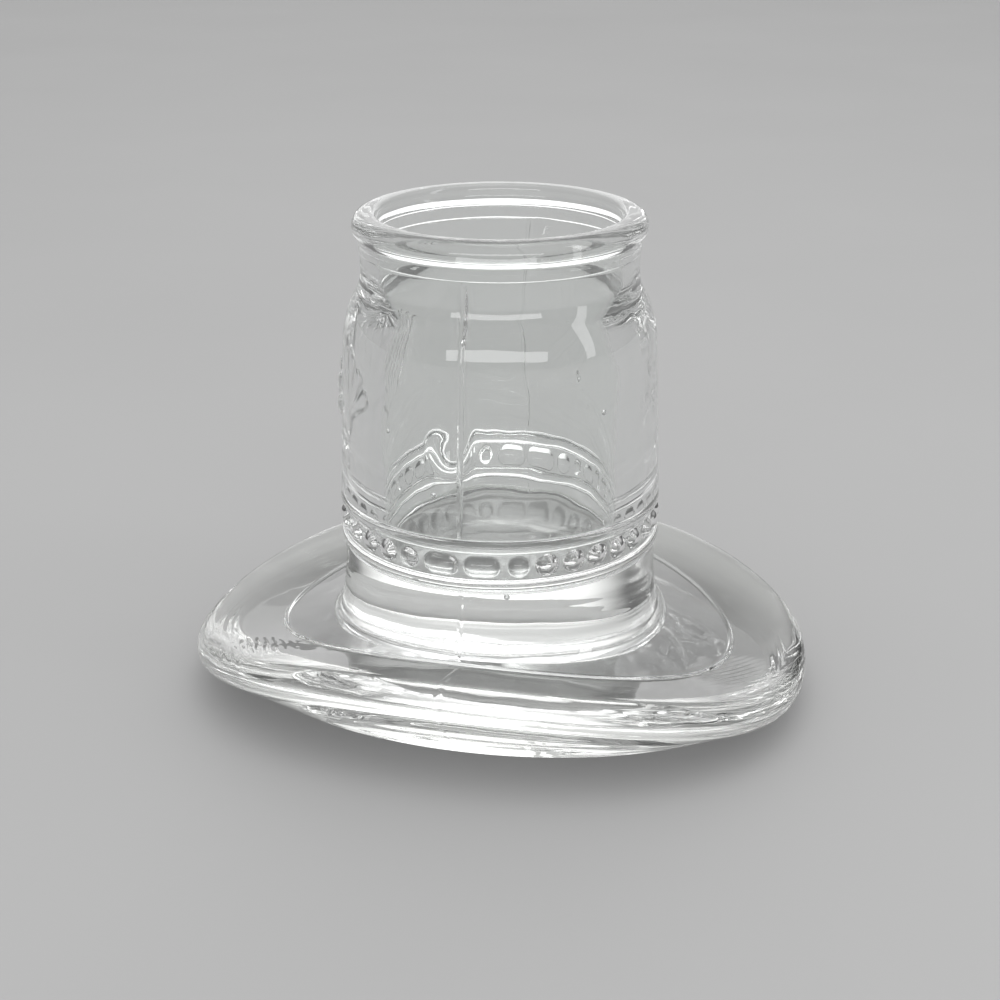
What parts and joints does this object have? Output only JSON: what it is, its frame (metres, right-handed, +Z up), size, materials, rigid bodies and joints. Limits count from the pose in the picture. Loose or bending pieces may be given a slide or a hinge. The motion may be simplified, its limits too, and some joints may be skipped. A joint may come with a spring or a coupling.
{
  "type": "glass hat",
  "caption": "Small clear pressed-glass hat: round open crown with a rolled lip, a corded and beaded band, and a saddle-shaped oval brim; holds small things in its well.",
  "frame": {"origin": "on the table at the middle of the flat underside, below the well's axis", "axes": "+Z up along the well's axis; X along the brim, with the hat's front at -X and its back at +X; the mould seams lie in the plane X = 0"},
  "size_m": [0.087, 0.0684, 0.0674],
  "materials": {
    "glass": "clear fire-polished pressed glass",
    "relief_glass": "clear pressed glass relief"
  },
  "bodies": {
    "root": {"lip": "glass", "neck_ring": "glass", "shoulder": "glass", "crown_wall": "glass", "upper_cord": "relief_glass", "lower_cord": "relief_glass", "band_strip": "glass", "band_beads": "relief_glass", "base": "glass", "deck": "glass", "welt": "relief_glass", "brim": "glass", "cockade": "relief_glass", "left_seam": "relief_glass", "right_seam": "relief_glass"}
  },
  "joints": []
}
